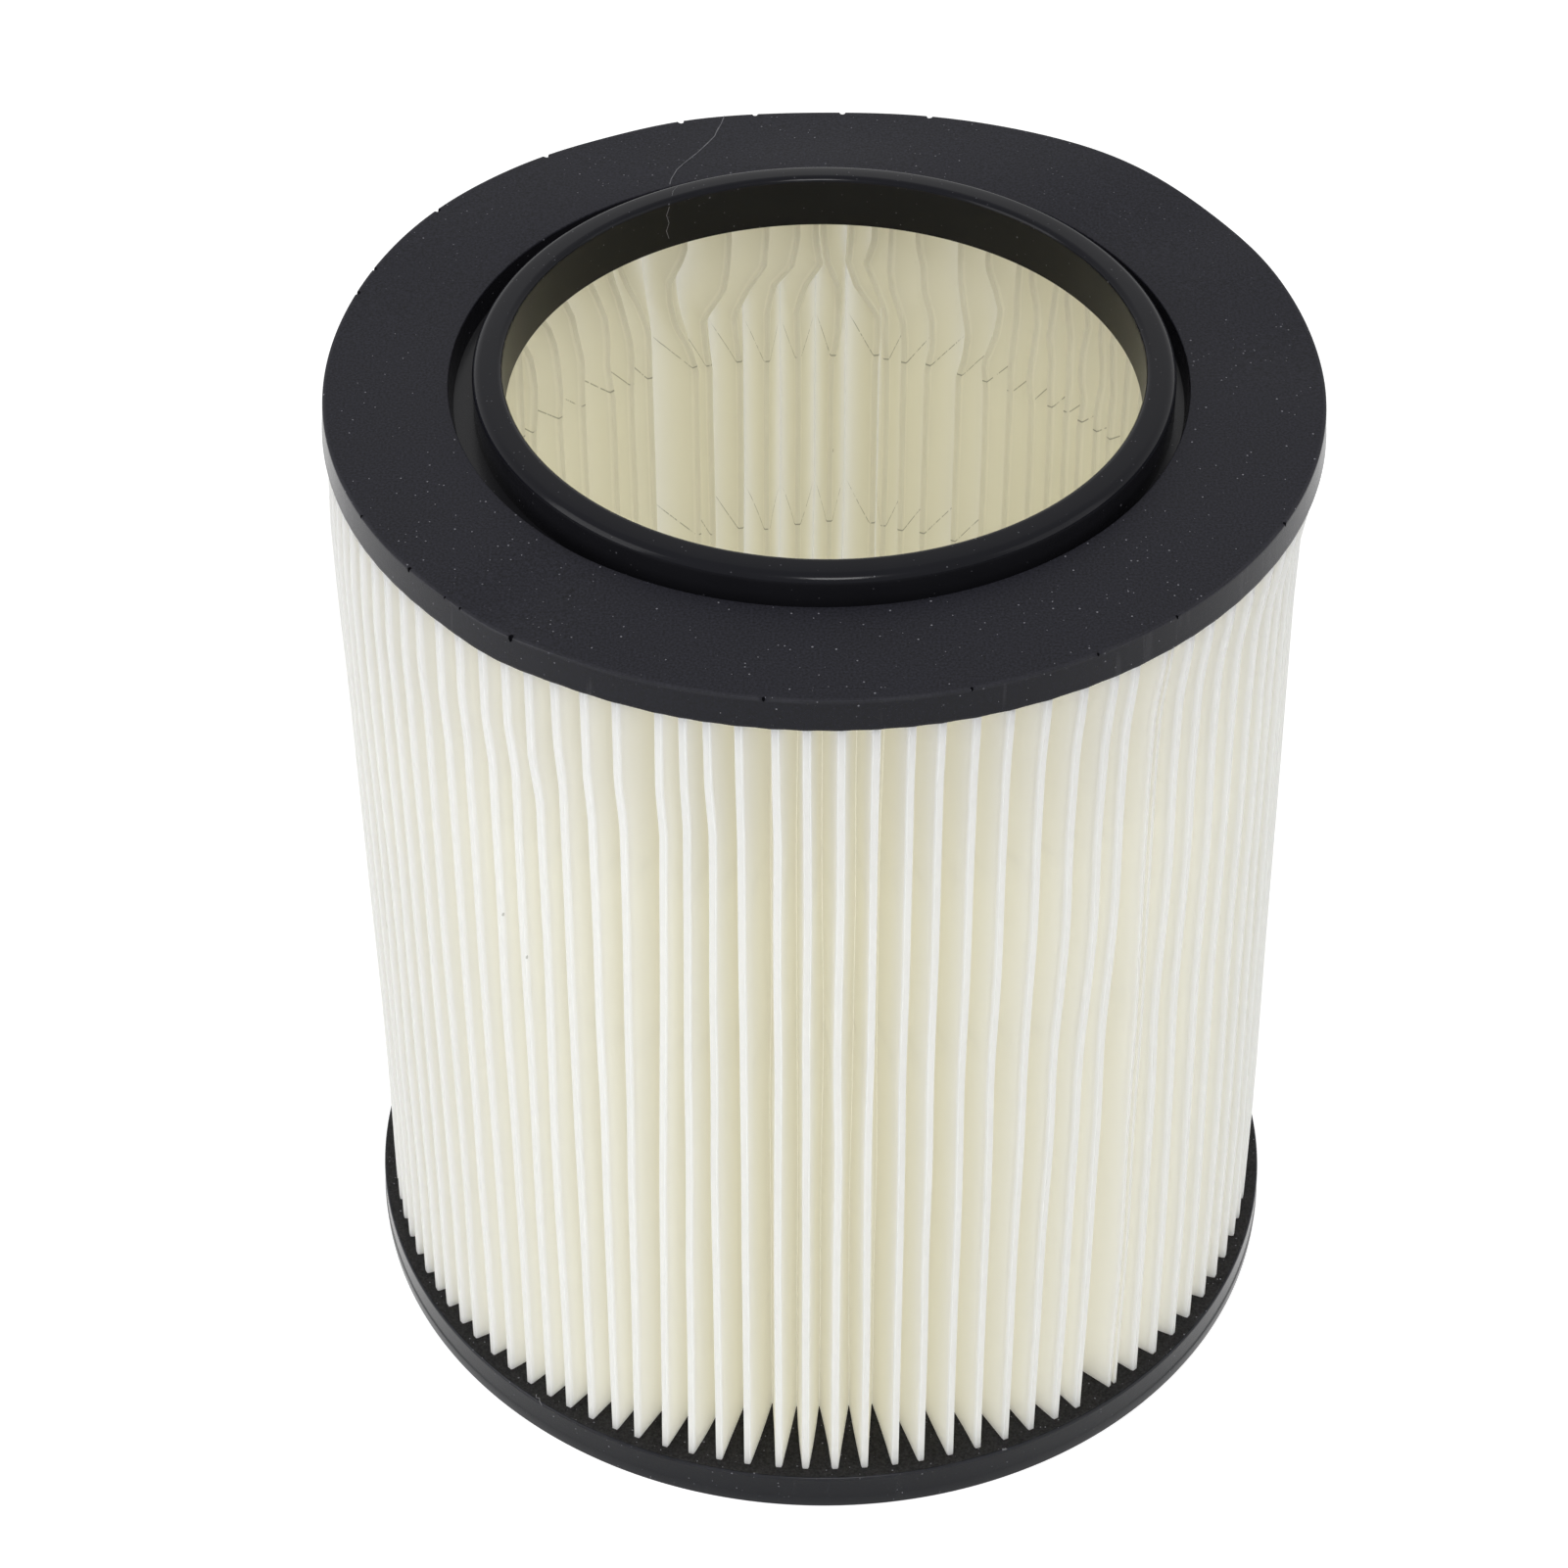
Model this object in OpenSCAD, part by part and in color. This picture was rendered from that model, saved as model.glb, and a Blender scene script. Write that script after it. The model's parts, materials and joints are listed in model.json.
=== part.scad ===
// Cartridge filter for a wet and dry vacuum cleaner.
// A ring of folded filter sheet stands between two moulded end caps, which are cast
// around its ends. The top cap is open in the middle, and its raised collar pushes
// onto the round boss of the cleaner. The bottom cap closes the other end, and a stud
// passes through its middle.
// The origin is at the middle of the underside, and +Z runs up the axis.

/* [Filter] */
// Height from the underside to the flat face of the top cap
body_height = 200; // [120:1:320]

/* [Sealing collar] */
// Radius of the opening, where the boss of the cleaner goes in
bore_radius = 56; // [40:0.5:70]
// Thickness of the collar wall
collar_wall = 5.4; // [4:0.2:8]
// Height of the collar above the flat face
collar_height = 4.4; // [2.6:0.2:8]
// Radius of the inner edge of the collar, where the boss leads in
collar_lead_in = 1.2; // [0.4:0.1:1.8]
// Radius of the outer shoulder of the collar
collar_shoulder = 1.4; // [0.4:0.1:1.8]
// Fall of the collar's crown from its inner to its outer side
crown_fall = 0.4; // [0.1:0.1:0.8]

/* [Groove around the collar] */
// Width of the groove at the flat face
groove_width = 3.5; // [2:0.1:6]
// Slope of the groove's outer wall, from the flat face to the floor
groove_slope = 0.8; // [0.1:0.1:1.5]
// Thickness left under the groove
groove_floor = 2; // [1:0.1:4]

/* [Top cap] */
// Thickness of the top cap
top_cap_thickness = 6; // [5:0.5:12]
// Thickness left over the end of the sheet
top_skin = 2; // [1:0.1:4]
// Width of the flat ring between the groove and the inner folds
inner_land = 6.3; // [3:0.1:12]
// Material outside the outer folds, at the flat face
rim_cover = 0.3; // [0.2:0.1:3]
// How far the rim spreads from the flat face to its lower edge
rim_draft = 0.5; // [0.1:0.1:2]

/* [Bottom cap] */
// Thickness of the bottom cap
bottom_cap_thickness = 8; // [6:0.5:14]
// Thickness left under the end of the sheet
bottom_skin = 3; // [1:0.1:5]
// Ledge outside the outer folds, at the cap's upper face
bottom_ledge = 2.3; // [1:0.1:8]
// Height of the mould's parting line on the rim
parting_height = 2.6; // [1:0.1:5]
// How far the rim stands out at the parting line
parting_spread = 0.3; // [0.1:0.1:1]
// Radius of the hole for the mounting stud
stud_hole_radius = 6.5; // [3:0.25:20]

/* [Folded sheet] */
// Number of pleats
pleat_count = 100; // [60:1:130]
// Depth of a pleat, from outer to inner fold
pleat_depth = 16; // [8:0.5:24]
// Thickness of the sheet
sheet_thickness = 0.8; // [0.4:0.1:0.9]
// Mean radius of a fold
fold_radius = 0.5; // [0.5:0.05:0.8]
// Direction of the joint where the two ends of the sheet meet
seam_angle = -50.4; // [-180:0.1:180]
// Length of the lap at that joint
seam_lap = 7; // [3:0.5:8]

/* [Hidden] */

$fn = 96;
fold_steps = 4;
round_steps = 6;
edge_break = 0.4;

// Heights of the caps and of the ends of the sheet
top_cap_low = body_height - top_cap_thickness;
collar_top = body_height + collar_height;
groove_low = top_cap_low + groove_floor;
sheet_high = body_height - top_skin;
sheet_low = bottom_skin;

// Radii, from the bore outwards
collar_radius = bore_radius + collar_wall;
groove_radius = collar_radius + groove_width;
pleat_inner_radius = groove_radius + inner_land;
pleat_radius = pleat_inner_radius + pleat_depth;
top_cap_radius = pleat_radius + rim_cover;
bottom_cap_radius = pleat_radius + bottom_ledge;

// Centre of the outer fold of the pleat on the +X axis, and of the inner fold after it
pleat_pitch = 360 / pleat_count;
fold_outside = fold_radius + sheet_thickness / 2;
outer_fold = [pleat_radius - fold_outside, 0];
inner_fold = (pleat_inner_radius + fold_outside) * [cos(pleat_pitch / 2), sin(pleat_pitch / 2)];

// Direction square to the flank, which runs from one fold to the other as their tangent
fold_to_fold = inner_fold - outer_fold;
flank_normal = atan2(fold_to_fold[1], fold_to_fold[0]) - acos(2 * fold_radius / norm(fold_to_fold));

function turned(point, angle) = [
    point[0] * cos(angle) - point[1] * sin(angle),
    point[0] * sin(angle) + point[1] * cos(angle)
];

function arc(centre, radius, from, to, steps) = [
    for (i = [0 : steps])
        let (a = from + (to - from) * i / steps)
            centre + radius * [cos(a), sin(a)]
];

// side is +1 for the face of the sheet that looks out, and -1 for the one that looks in.
function outer_fold_face(side) = arc(
    outer_fold, fold_radius + side * sheet_thickness / 2,
    -flank_normal, flank_normal, side > 0 ? fold_steps : 1
);

function inner_fold_face(side) = arc(
    inner_fold, fold_radius - side * sheet_thickness / 2,
    180 + flank_normal, 180 + pleat_pitch - flank_normal, side > 0 ? 1 : fold_steps
);

// The end of the sheet lies flat on the flank next to the fold where the sheet began.
function lap_face() =
    let (across = [cos(flank_normal), sin(flank_normal)])
    let (along = [-across[1], across[0]])
    let (foot = outer_fold + fold_outside * across)
        [
            foot + sheet_thickness * across,
            foot + sheet_thickness * across + seam_lap * along,
            foot + seam_lap * along
        ];

function sheet_face(side) = [
    for (i = [0 : pleat_count - 1])
        for (p = concat(
            outer_fold_face(side),
            i == 0 && side > 0 ? lap_face() : [],
            inner_fold_face(side)
        ))
            turned(p, seam_angle + i * pleat_pitch)
];

// The caps are cut out with the same solid, because they are cast around the sheet.
module sheet_body() {
    translate([0, 0, sheet_low])
        linear_extrude(sheet_high - sheet_low)
            difference() {
                polygon(sheet_face(1));
                polygon(sheet_face(-1));
            }
}

// Half section of the top cap, from the lower end of the bore round to the lower rim
function top_cap_section() = concat(
    [[bore_radius, top_cap_low]],
    arc([bore_radius + collar_lead_in, collar_top - collar_lead_in],
        collar_lead_in, 180, 90, round_steps),
    arc([collar_radius - collar_shoulder, collar_top - crown_fall - collar_shoulder],
        collar_shoulder, 90, 0, round_steps),
    [
        [collar_radius, groove_low],
        [groove_radius - groove_slope, groove_low],
        [groove_radius, body_height],
        [top_cap_radius - edge_break, body_height],
        [top_cap_radius, body_height - edge_break],
        [top_cap_radius + rim_draft, top_cap_low]
    ]
);

module top_end_cap() {
    color([0.17, 0.17, 0.20])
        difference() {
            rotate_extrude()
                polygon(top_cap_section());
            sheet_body();
        }
}

// Half section of the bottom cap, from the stud hole round to the top of the rim
function bottom_cap_section() = [
    [stud_hole_radius, 0],
    [bottom_cap_radius - edge_break, 0],
    [bottom_cap_radius + parting_spread, parting_height],
    [bottom_cap_radius, bottom_cap_thickness],
    [stud_hole_radius, bottom_cap_thickness]
];

module bottom_end_cap() {
    color([0.17, 0.17, 0.20])
        difference() {
            rotate_extrude()
                polygon(bottom_cap_section());
            sheet_body();
        }
}

module pleated_media() {
    color([0.95, 0.94, 0.86])
        sheet_body();
}

top_end_cap();
bottom_end_cap();
pleated_media();
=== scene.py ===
"""Looks of the cartridge filter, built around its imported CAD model.

Lengths are in metres and angles in degrees, unless a name says otherwise. A direction round
the filter is its azimuth, counted from +X towards +Y, and the photograph looks from -Y.
"""

import json
import math
import random

import bpy
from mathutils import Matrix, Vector, noise


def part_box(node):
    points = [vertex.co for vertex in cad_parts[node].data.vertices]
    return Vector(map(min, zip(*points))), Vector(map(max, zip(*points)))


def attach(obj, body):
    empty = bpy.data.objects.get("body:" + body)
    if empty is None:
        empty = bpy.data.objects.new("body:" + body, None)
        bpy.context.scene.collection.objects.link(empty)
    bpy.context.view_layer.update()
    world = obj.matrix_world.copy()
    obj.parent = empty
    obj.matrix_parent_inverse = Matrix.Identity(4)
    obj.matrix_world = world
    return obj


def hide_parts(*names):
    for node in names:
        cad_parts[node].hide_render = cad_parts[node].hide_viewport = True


MM = 0.001

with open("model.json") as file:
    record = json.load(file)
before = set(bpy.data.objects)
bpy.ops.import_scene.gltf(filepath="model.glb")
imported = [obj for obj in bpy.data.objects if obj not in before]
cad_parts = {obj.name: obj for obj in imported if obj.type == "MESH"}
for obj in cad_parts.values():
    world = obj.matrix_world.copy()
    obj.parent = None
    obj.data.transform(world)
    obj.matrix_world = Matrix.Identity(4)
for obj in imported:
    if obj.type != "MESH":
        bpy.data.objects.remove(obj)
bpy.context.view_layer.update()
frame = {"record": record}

# Sizes that the frame gives
TOP_CAP_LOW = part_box("top_end_cap")[0].z
COLLAR_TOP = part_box("top_end_cap")[1].z
TOP_CAP_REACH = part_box("top_end_cap")[1].x
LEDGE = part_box("bottom_end_cap")[1].z
BOTTOM_CAP_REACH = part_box("bottom_end_cap")[1].x
SHEET_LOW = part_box("pleated_media")[0].z
SHEET_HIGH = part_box("pleated_media")[1].z
MOUNTS = {m["name"]: m for m in frame["record"]["mounts"]}
BORE_RADIUS = MOUNTS["collar_bore"]["dims"]["r_mm"] * MM
STUD_HOLE_RADIUS = MOUNTS["stud_hole"]["dims"]["r_mm"] * MM

# Sizes of the castings that the frame doesn't give
TOP_FACE = 200 * MM
TOP_RIM_RADIUS = 87.5 * MM
COLLAR_WALL = 5.4 * MM
CROWN_FALL = 0.4 * MM
GROOVE_RADIUS = 64.9 * MM
GROOVE_FLOOR = 196 * MM
GROOVE_SLOPE = 0.8 * MM
BOTTOM_RIM_RADIUS = 89.5 * MM
PARTING_HEIGHT = 2.6 * MM

# The folded sheet
OUTER_FOLD_RADIUS = 87.2 * MM
INNER_FOLD_RADIUS = 71.2 * MM
SHEET_THICKNESS = 0.6 * MM
FOLD_RADIUS = 0.35 * MM

ROUND_STEPS = 480


def clear_selection():
    """An operator acts on all that is selected, so each piece starts with nothing selected."""
    if bpy.context.object and bpy.context.object.mode != "OBJECT":
        bpy.ops.object.mode_set(mode="OBJECT")
    bpy.ops.object.select_all(action="DESELECT")


def make_active(piece):
    clear_selection()
    piece.select_set(True)
    bpy.context.view_layer.objects.active = piece


def apply_modifiers(piece):
    make_active(piece)
    for modifier in list(piece.modifiers):
        bpy.ops.object.modifier_apply(modifier=modifier.name)


def move_points(piece, where):
    """Moves each point of the piece to where(point), as a sculptor's brush would."""
    for v in piece.data.vertices:
        v.co = where(v.co)
    piece.data.update()


def azimuth_of(point):
    return math.degrees(math.atan2(point.y, point.x))


def turn_between(a, b):
    """The signed turn from azimuth b to azimuth a, from -180 to 180."""
    return (a - b + 180) % 360 - 180


def hump(x, middle, width):
    """1 at the middle, falling smoothly to nothing about two widths away."""
    return math.exp(-((x - middle) / width) ** 2)


def ramp(x, low, high):
    """0 below low, 1 above high, and a smooth rise between."""
    t = min(max((x - low) / (high - low), 0), 1)
    return t * t * (3 - 2 * t)


# ---- camera, floor and light ----

PHOTO_PIXELS = 1601
LENS_PIXELS = 4200
SENSOR = 36
CAMERA_PLACE = Vector((0, -0.5855, 0.6244))
CAMERA_AIM = Vector((-0.0076, 0, 0.1046))


def add_camera():
    clear_selection()
    bpy.ops.object.camera_add(location=CAMERA_PLACE)
    camera = bpy.context.object
    camera.rotation_euler = (CAMERA_AIM - CAMERA_PLACE).to_track_quat("-Z", "Y").to_euler()
    camera.data.sensor_width = SENSOR
    camera.data.lens = LENS_PIXELS * SENSOR / PHOTO_PIXELS
    camera.data.clip_start = 0.05
    camera.data.clip_end = 50
    bpy.context.scene.camera = camera


def add_softbox(name, place, aim, width, height, watts):
    clear_selection()
    bpy.ops.object.light_add(type="AREA", location=place)
    lamp = bpy.context.object
    lamp.name = name
    lamp.rotation_euler = (Vector(aim) - Vector(place)).to_track_quat("-Z", "Y").to_euler()
    lamp.data.shape = "RECTANGLE"
    lamp.data.size = width
    lamp.data.size_y = height
    lamp.data.energy = watts


def seen_directly(tree):
    """1 for rays that show a surface as it is: from the camera, a mirror or clear glass."""
    path = tree.nodes.new("ShaderNodeLightPath")
    seen = path.outputs["Is Camera Ray"]
    for other in ("Is Glossy Ray", "Is Transmission Ray"):
        both = tree.nodes.new("ShaderNodeMath")
        both.operation = "MAXIMUM"
        tree.links.new(seen, both.inputs[0])
        tree.links.new(path.outputs[other], both.inputs[1])
        seen = both.outputs[0]
    return seen


WORLD_LIGHT = 0.42


def light_studio():
    world = bpy.data.worlds.new("studio")
    bpy.context.scene.world = world
    world.use_nodes = True
    tree = world.node_tree
    background = tree.nodes["Background"]
    background.inputs["Color"].default_value = (1, 1, 1, 1)
    strength = tree.nodes.new("ShaderNodeMapRange")
    tree.links.new(seen_directly(tree), strength.inputs["Value"])
    strength.inputs["To Min"].default_value = WORLD_LIGHT
    strength.inputs["To Max"].default_value = 1
    tree.links.new(strength.outputs["Result"], background.inputs["Strength"])

    middle = (0, 0, 0.1)
    add_softbox("softbox_front", (0.1, -1.2, 1.35), middle, 0.42, 0.42, 8.8)
    add_softbox("softbox_left", (-1.2, -0.45, 0.5), middle, 0.8, 1.0, 6.4)
    add_softbox("softbox_right", (1.2, -0.35, 0.5), middle, 0.8, 1.0, 1.9)
    bpy.context.scene.view_settings.view_transform = "Standard"


def add_floor():
    clear_selection()
    bpy.ops.mesh.primitive_plane_add(size=12, location=(0, 0, -0.02 * MM))
    floor = bpy.context.object
    floor.name = "studio_floor"
    material = bpy.data.materials.new("pale_floor")
    material.use_nodes = True
    tree = material.node_tree
    surface = tree.nodes["Principled BSDF"]
    surface.inputs["Base Color"].default_value = (0.86, 0.86, 0.86, 1)
    surface.inputs["Roughness"].default_value = 0.9
    surface.inputs["Specular IOR Level"].default_value = 0
    glow = tree.nodes.new("ShaderNodeEmission")
    tree.links.new(seen_directly(tree), glow.inputs["Strength"])
    glow.inputs["Color"].default_value = (0.6, 0.6, 0.6, 1)
    both = tree.nodes.new("ShaderNodeAddShader")
    tree.links.new(surface.outputs["BSDF"], both.inputs[0])
    tree.links.new(glow.outputs["Emission"], both.inputs[1])
    tree.links.new(both.outputs["Shader"], tree.nodes["Material Output"].inputs["Surface"])
    floor.data.materials.append(material)


# ---- the castings ----


def turned_casting(name, section, steps=ROUND_STEPS):
    """A ring about the Z axis, drawn up from a circle one edge loop at a time.

    section lists (radius, height) round the half section, and its last corner joins the first.
    """
    clear_selection()
    radius, height = section[0]
    bpy.ops.mesh.primitive_circle_add(vertices=steps, radius=radius, location=(0, 0, 0))
    casting = bpy.context.object
    casting.name = name
    bpy.ops.object.mode_set(mode="EDIT")
    bpy.ops.mesh.select_all(action="SELECT")
    bpy.ops.transform.translate(value=(0, 0, height))
    for next_radius, next_height in section[1:]:
        bpy.ops.mesh.extrude_edges_move(
            TRANSFORM_OT_translate={"value": (0, 0, next_height - height)}
        )
        share = next_radius / radius
        bpy.ops.transform.resize(value=(share, share, 1), center_override=(0, 0, next_height))
        radius, height = next_radius, next_height
    bpy.ops.mesh.select_all(action="DESELECT")
    bpy.ops.mesh.select_non_manifold()
    bpy.ops.mesh.bridge_edge_loops()
    bpy.ops.mesh.select_all(action="SELECT")
    bpy.ops.mesh.normals_make_consistent(inside=False)
    bpy.ops.object.mode_set(mode="OBJECT")
    return casting


def round_edge(casting, radius, height, width, steps):
    """Rounds the edge loop of a turned casting that lies at this radius and height."""
    make_active(casting)
    near = 0.02 * MM

    def on_loop(v):
        return abs(v.co.xy.length - radius) < near and abs(v.co.z - height) < near

    for v in casting.data.vertices:
        v.select = on_loop(v)
    for e in casting.data.edges:
        e.select = all(casting.data.vertices[i].select for i in e.vertices)
    for p in casting.data.polygons:
        p.select = False
    bpy.ops.object.mode_set(mode="EDIT")
    bpy.ops.mesh.select_mode(type="EDGE")
    bpy.ops.mesh.bevel(offset=width, segments=steps, profile=0.5, affect="EDGES")
    bpy.ops.object.mode_set(mode="OBJECT")


def shade_smooth(piece, angle):
    make_active(piece)
    bpy.ops.object.shade_smooth_by_angle(angle=math.radians(angle))


def shade_flat_faces(piece, angle=35):
    """Large faces stay flat up to the small rounding at their edge."""
    shade_smooth(piece, angle)
    weighted = piece.modifiers.new("flat_faces", "WEIGHTED_NORMAL")
    weighted.keep_sharp = True
    weighted.weight = 100
    apply_modifiers(piece)


# Azimuth and size of each nick in the top cap's outer edge
EDGE_NICKS = [
    (164, 1.0), (159, 0.9), (145, 1.1), (127, 1.1), (108.5, 1.1), (99, 0.9), (88, 1.0),
    (77, 1.0), (-152.3, 0.4), (-141.3, 0.55), (-135, 0.3), (-132.6, 0.3), (-125.2, 0.75),
    (-96, 0.45), (-74, 0.4), (-59.3, 0.35), (-48.5, 0.4), (-27.7, 0.5),
]

# Azimuth, width and height of each swell in the top cap, which isn't quite flat
TOP_SWELLS = [
    (50, 14, 1.35), (25, 8, 0.4), (92, 17, -1.3), (118, 8, -0.4), (148, 16, 0.8), (5, 8, -0.3),
    (-128, 6, -0.7),
]
GROOVE_SIDESTEP = Vector((-0.9 * MM, 1.1 * MM, 0))
CAP_SIDESTEP = Vector((-0.6 * MM, 0, 0))


def add_top_cap():
    outer = BORE_RADIUS + COLLAR_WALL
    crown = COLLAR_TOP - CROWN_FALL
    cap = turned_casting(
        "top_cap_casting",
        [
            (BORE_RADIUS, TOP_CAP_LOW),
            (BORE_RADIUS, COLLAR_TOP),
            (BORE_RADIUS + COLLAR_WALL / 2, COLLAR_TOP - CROWN_FALL / 3),
            (outer, crown),
            (outer, GROOVE_FLOOR),
            (GROOVE_RADIUS - GROOVE_SLOPE, GROOVE_FLOOR),
            (GROOVE_RADIUS, TOP_FACE),
            (70 * MM, TOP_FACE),
            (76 * MM, TOP_FACE),
            (82 * MM, TOP_FACE),
            (TOP_RIM_RADIUS - 0.7 * MM, TOP_FACE),
            (TOP_RIM_RADIUS, TOP_FACE),
            (TOP_RIM_RADIUS + 0.08 * MM, TOP_FACE - 0.7 * MM),
            (TOP_CAP_REACH - 0.15 * MM, TOP_CAP_LOW + 1.6 * MM),
            (TOP_CAP_REACH - 0.04 * MM, TOP_CAP_LOW + 0.7 * MM),
            (TOP_CAP_REACH, TOP_CAP_LOW),
            (80 * MM, TOP_CAP_LOW),
            (70 * MM, TOP_CAP_LOW),
        ],
    )
    round_edge(cap, BORE_RADIUS, COLLAR_TOP, 1.2 * MM, 5)
    round_edge(cap, outer, crown, 1.6 * MM, 6)
    round_edge(cap, BORE_RADIUS, TOP_CAP_LOW, 0.4 * MM, 2)
    round_edge(cap, GROOVE_RADIUS, TOP_FACE, 0.25 * MM, 2)
    round_edge(cap, TOP_RIM_RADIUS, TOP_FACE, 0.3 * MM, 3)
    round_edge(cap, TOP_CAP_REACH, TOP_CAP_LOW, 0.3 * MM, 3)
    # A painted highlight along the rounded top edge.
    mark_painted_edge_highlight(cap, TOP_RIM_RADIUS, TOP_FACE)
    cap.data.materials.append(cast_black("cast_black_matt", MATT_COLOUR, 0.13, 0.5, 0))
    nick_edge(cap)
    cap.data.materials.append(smooth_black("smooth_black", COLLAR_COLOUR, 0.14, 0.16))
    # The bore and groove copies are darker than the face: partly their smoother skin, partly painted
    # shade in these recesses.
    cap.data.materials.append(smooth_black("smooth_black_bore_shaded", BORE_SKIN_AND_SHADE_COLOUR, 0.2, 0.4))
    cap.data.materials.append(smooth_black("smooth_black_groove_shaded", GROOVE_SKIN_AND_SHADE_COLOUR, 0.19, 0.25))
    cap.data.materials.append(cast_black("cast_black_satin", SATIN_COLOUR, 0.2, 0.27, 0.16, 0.07))
    paint_top_cap(cap)
    add_strips(cap, [(CRACK, CRACK_WIDTH), (CRACK_ON_COLLAR, CRACK_ON_COLLAR_WIDTH)])
    move_points(cap, cast_place)
    shade_flat_faces(cap)
    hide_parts("top_end_cap")
    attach(cap, "root")
    return cap


def mark_painted_edge_highlight(cap, radius, height):
    """The rounded outer edge at this radius and height gets a paler line: a painted highlight."""
    highlight_attribute = cap.data.attributes.new("painted_edge_highlight", "FLOAT", "POINT")
    for v in cap.data.vertices:
        on_edge = v.co.xy.length > radius - 0.35 * MM and v.co.z > height - 0.5 * MM
        highlight_attribute.data[v.index].value = 1 if on_edge else 0


def paint_top_cap(cap):
    """The collar, groove and bore have one finish, the rim wall another, the face a third. The
    groove and bore are darker than the face, partly painted shade in these recesses.
    """
    slots = [m.name for m in cap.data.materials]
    for face in cap.data.polygons:
        radius, height = face.center.xy.length, face.center.z
        if slots[face.material_index] != "cast_black_matt":
            continue
        if radius < BORE_RADIUS + 0.1 * MM:
            face.material_index = slots.index("smooth_black_bore_shaded")
        elif radius < BORE_RADIUS + COLLAR_WALL - 0.05 * MM:
            face.material_index = slots.index("smooth_black")
        # The lowest band round the cap takes the groove's finish: a painted shadow line along the
        # lower edge.
        elif radius < GROOVE_RADIUS or height < TOP_CAP_LOW + 0.32 * MM:
            face.material_index = slots.index("smooth_black_groove_shaded")
        elif radius > TOP_RIM_RADIUS and abs(face.normal.z) < 0.5:
            face.material_index = slots.index("cast_black_satin")


# The crack runs from the outer edge to the collar and down the bore: (azimuth, radius, height)
CRACK = [
    (102.9, 87.3, 200), (103.7, 84.6, 200), (104.5, 82.6, 200), (105.2, 80.6, 200),
    (106.7, 78.2, 200), (108.6, 75.4, 200), (110.0, 73.6, 200), (111.2, 72.2, 200),
    (112.8, 70.2, 200), (114.6, 67.2, 200), (115.4, 65.6, 200),
]
CRACK_ON_COLLAR = [
    (116.6, 61.0, 203.5), (117.2, 59.8, 204.15), (118.6, 58.6, 204.3), (119.4, 57.4, 204.35),
    (120.3, 56.4, 204.0), (120.8, 56, 203), (121.4, 56, 201.4), (120.9, 56, 199.6),
    (121.5, 56, 198), (121.0, 56, 196.2),
]
CRACK_WIDTH = 0.22 * MM
CRACK_ON_COLLAR_WIDTH = 0.1 * MM


# A curled hair and a white fleck that stick to the edge of the bottom cap
HAIR = [
    (-128.1, 88.5, 8), (-127.8, 89.1, 8), (-127.4, 88.8, 8), (-127.1, 89.3, 8),
    (-126.8, 89.5, 7.8), (-126.6, 89.58, 7.5),
]
FLECK = [(-66.8, 89.2, 8), (-66.5, 89.4, 8), (-66.3, 89.3, 8)]


def add_strips(cap, paths):
    """Thin strips that lie half sunk in the skin of the cap: (path, width) of each."""
    strips = []
    for path, width in paths:
        clear_selection()
        bpy.ops.mesh.primitive_grid_add(x_subdivisions=len(path) - 1, y_subdivisions=1, size=1)
        strip = bpy.context.object
        lay_strip(strip, path, width)
        thick = strip.modifiers.new("thickness", "SOLIDIFY")
        thick.thickness = 0.08 * MM
        thick.offset = 0
        apply_modifiers(strip)
        strip.data.materials.append(pale_dust())
        strips.append(strip)
    clear_selection()
    for strip in strips:
        strip.select_set(True)
    make_joined(cap)


def lay_strip(strip, path, strip_width):
    places = []
    for azimuth, radius, height in path:
        a = math.radians(azimuth)
        places.append(Vector((math.cos(a) * radius, math.sin(a) * radius, height)) * MM)
    columns = len(path) - 1
    for v in strip.data.vertices:
        column = round((v.co.x + 0.5) * columns)
        before, after = places[max(column - 1, 0)], places[min(column + 1, columns)]
        run = (after - before).normalized()
        up = Vector((-places[column].x, -places[column].y, 0)).normalized()
        if places[column].xy.length > BORE_RADIUS + 0.5 * MM:
            up = Vector((0, 0, 1))
        side = run.cross(up).normalized()
        width = strip_width * (0.6 if column % 2 else 1)
        v.co = places[column] + side * width * (0.5 if v.co.y > 0 else -0.5)
    strip.data.update()


def make_joined(piece):
    """Joins all that is selected into the piece."""
    piece.select_set(True)
    bpy.context.view_layer.objects.active = piece
    bpy.ops.object.join()


def nick_edge(cap):
    """Small voids that air bubbles left in the outer edge."""
    cutters = []
    for azimuth, size in EDGE_NICKS:
        a = math.radians(azimuth)
        place = Vector((math.cos(a), math.sin(a), 0)) * (TOP_RIM_RADIUS - 0.1 * MM)
        place.z = TOP_FACE - 0.1 * MM
        clear_selection()
        bpy.ops.mesh.primitive_ico_sphere_add(subdivisions=2, radius=size * MM, location=place)
        bubble = bpy.context.object
        bubble.scale = (0.8, 0.6, 1.3)
        bubble.rotation_euler = (0, 0, a)
        cutters.append(bubble)
    clear_selection()
    for bubble in cutters:
        bubble.select_set(True)
    bpy.context.view_layer.objects.active = cutters[0]
    bpy.ops.object.join()
    bpy.ops.object.transform_apply(location=True, rotation=True, scale=True)
    bubbles = bpy.context.object
    # The voids' faces take a near-black: painted shade in the recesses.
    bubbles.data.materials.append(void_painted_shade())
    cut = cap.modifiers.new("nicks", "BOOLEAN")
    cut.operation = "DIFFERENCE"
    cut.object = bubbles
    cut.solver = "EXACT"
    cut.material_mode = "TRANSFER"
    apply_modifiers(cap)
    bpy.data.objects.remove(bubbles)


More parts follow.
